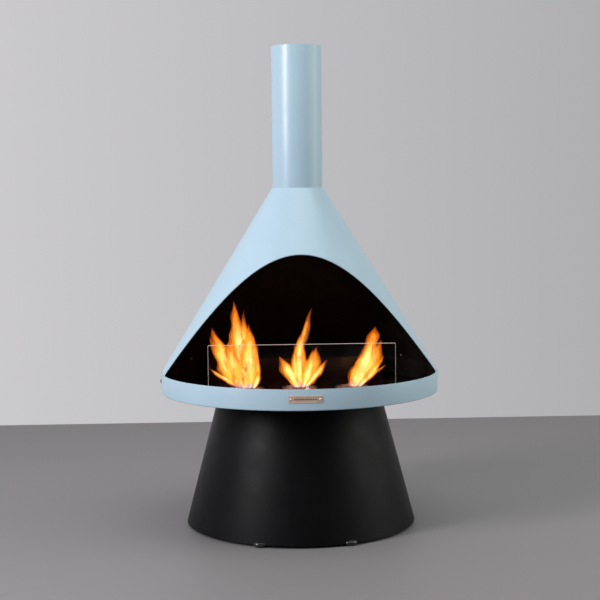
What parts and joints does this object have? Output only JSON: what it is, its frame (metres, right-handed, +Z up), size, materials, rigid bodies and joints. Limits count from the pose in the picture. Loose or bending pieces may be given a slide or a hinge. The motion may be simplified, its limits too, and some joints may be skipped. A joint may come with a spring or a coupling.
{
  "type": "gel fuel chiminea",
  "caption": "Free-standing cone-hood chiminea with a tall flue, round hearth band, glass wind guard and lift-out gel fuel cans on a tapered black pedestal.",
  "frame": {"origin": "on the floor, on the flue's axis, at the middle of the overall box", "axes": "+Z up along the flue, the fire opening and the badge face -Y, +X to the right seen from the front"},
  "size_m": [0.6708, 0.671, 1.143],
  "materials": {
    "hood_blue": "satin powder coat",
    "pedestal_black": "satin powder coat",
    "hearth_black": "matt high-temperature paint",
    "tray_black": "gloss enamel",
    "foot_rubber": "gloss moulded",
    "guard_glass": "clear toughened glass with seamed edges",
    "can_steel": "tinned steel",
    "fuel_gel": "wet translucent gel",
    "badge_copper": "brushed copper",
    "fastener_black": "black oxide",
    "fastener_zinc": "zinc plated"
  },
  "bodies": {
    "stand": {"base_shell": "pedestal_black", "base_bottom_ring": "pedestal_black", "base_top_plate": "pedestal_black", "foot_front_left": "foot_rubber", "foot_front_right": "foot_rubber", "foot_rear_left": "foot_rubber", "foot_rear_right": "foot_rubber", "hearth_band": "hood_blue", "hearth_floor": "hearth_black", "hearth_studs": "fastener_zinc", "stud_washers": "fastener_zinc", "stud_nuts": "fastener_zinc", "hood_cone": "hood_blue", "hood_skirt": "hood_blue", "hood_screws": "fastener_black", "hood_nuts": "fastener_zinc", "hood_rivets": "fastener_zinc", "flue_collar": "hearth_black", "burner_tray": "tray_black", "can_well": "hearth_black", "burner_back_panel": "tray_black", "tray_screws": "fastener_black", "tray_nuts": "fastener_zinc", "glass_clip_left": "hearth_black", "glass_clip_right": "hearth_black", "badge_plate": "badge_copper", "badge_rivets": "badge_copper"},
    "flue": {"flue_pipe": "hood_blue"},
    "glass": {"glass_guard": "guard_glass"},
    "can_left": {"fuel_can_left": "can_steel", "fuel_gel_left": "fuel_gel"},
    "can_middle": {"fuel_can_middle": "can_steel", "fuel_gel_middle": "fuel_gel"},
    "can_right": {"fuel_can_right": "can_steel", "fuel_gel_right": "fuel_gel"}
  },
  "joints": [
    {"name": "flue_lift", "type": "slide", "parent": "stand", "child": "flue", "axis": [0, 0, 1], "range_m": [0, 0.065]},
    {"name": "glass_lift", "type": "slide", "parent": "stand", "child": "glass", "axis": [0, 0, 1], "range_m": [0, 0.13]},
    {"name": "can_left_lift", "type": "slide", "parent": "stand", "child": "can_left", "axis": [0, 0, 1], "range_m": [0, 0.1]},
    {"name": "can_middle_lift", "type": "slide", "parent": "stand", "child": "can_middle", "axis": [0, 0, 1], "range_m": [0, 0.1]},
    {"name": "can_right_lift", "type": "slide", "parent": "stand", "child": "can_right", "axis": [0, 0, 1], "range_m": [0, 0.1]}
  ]
}
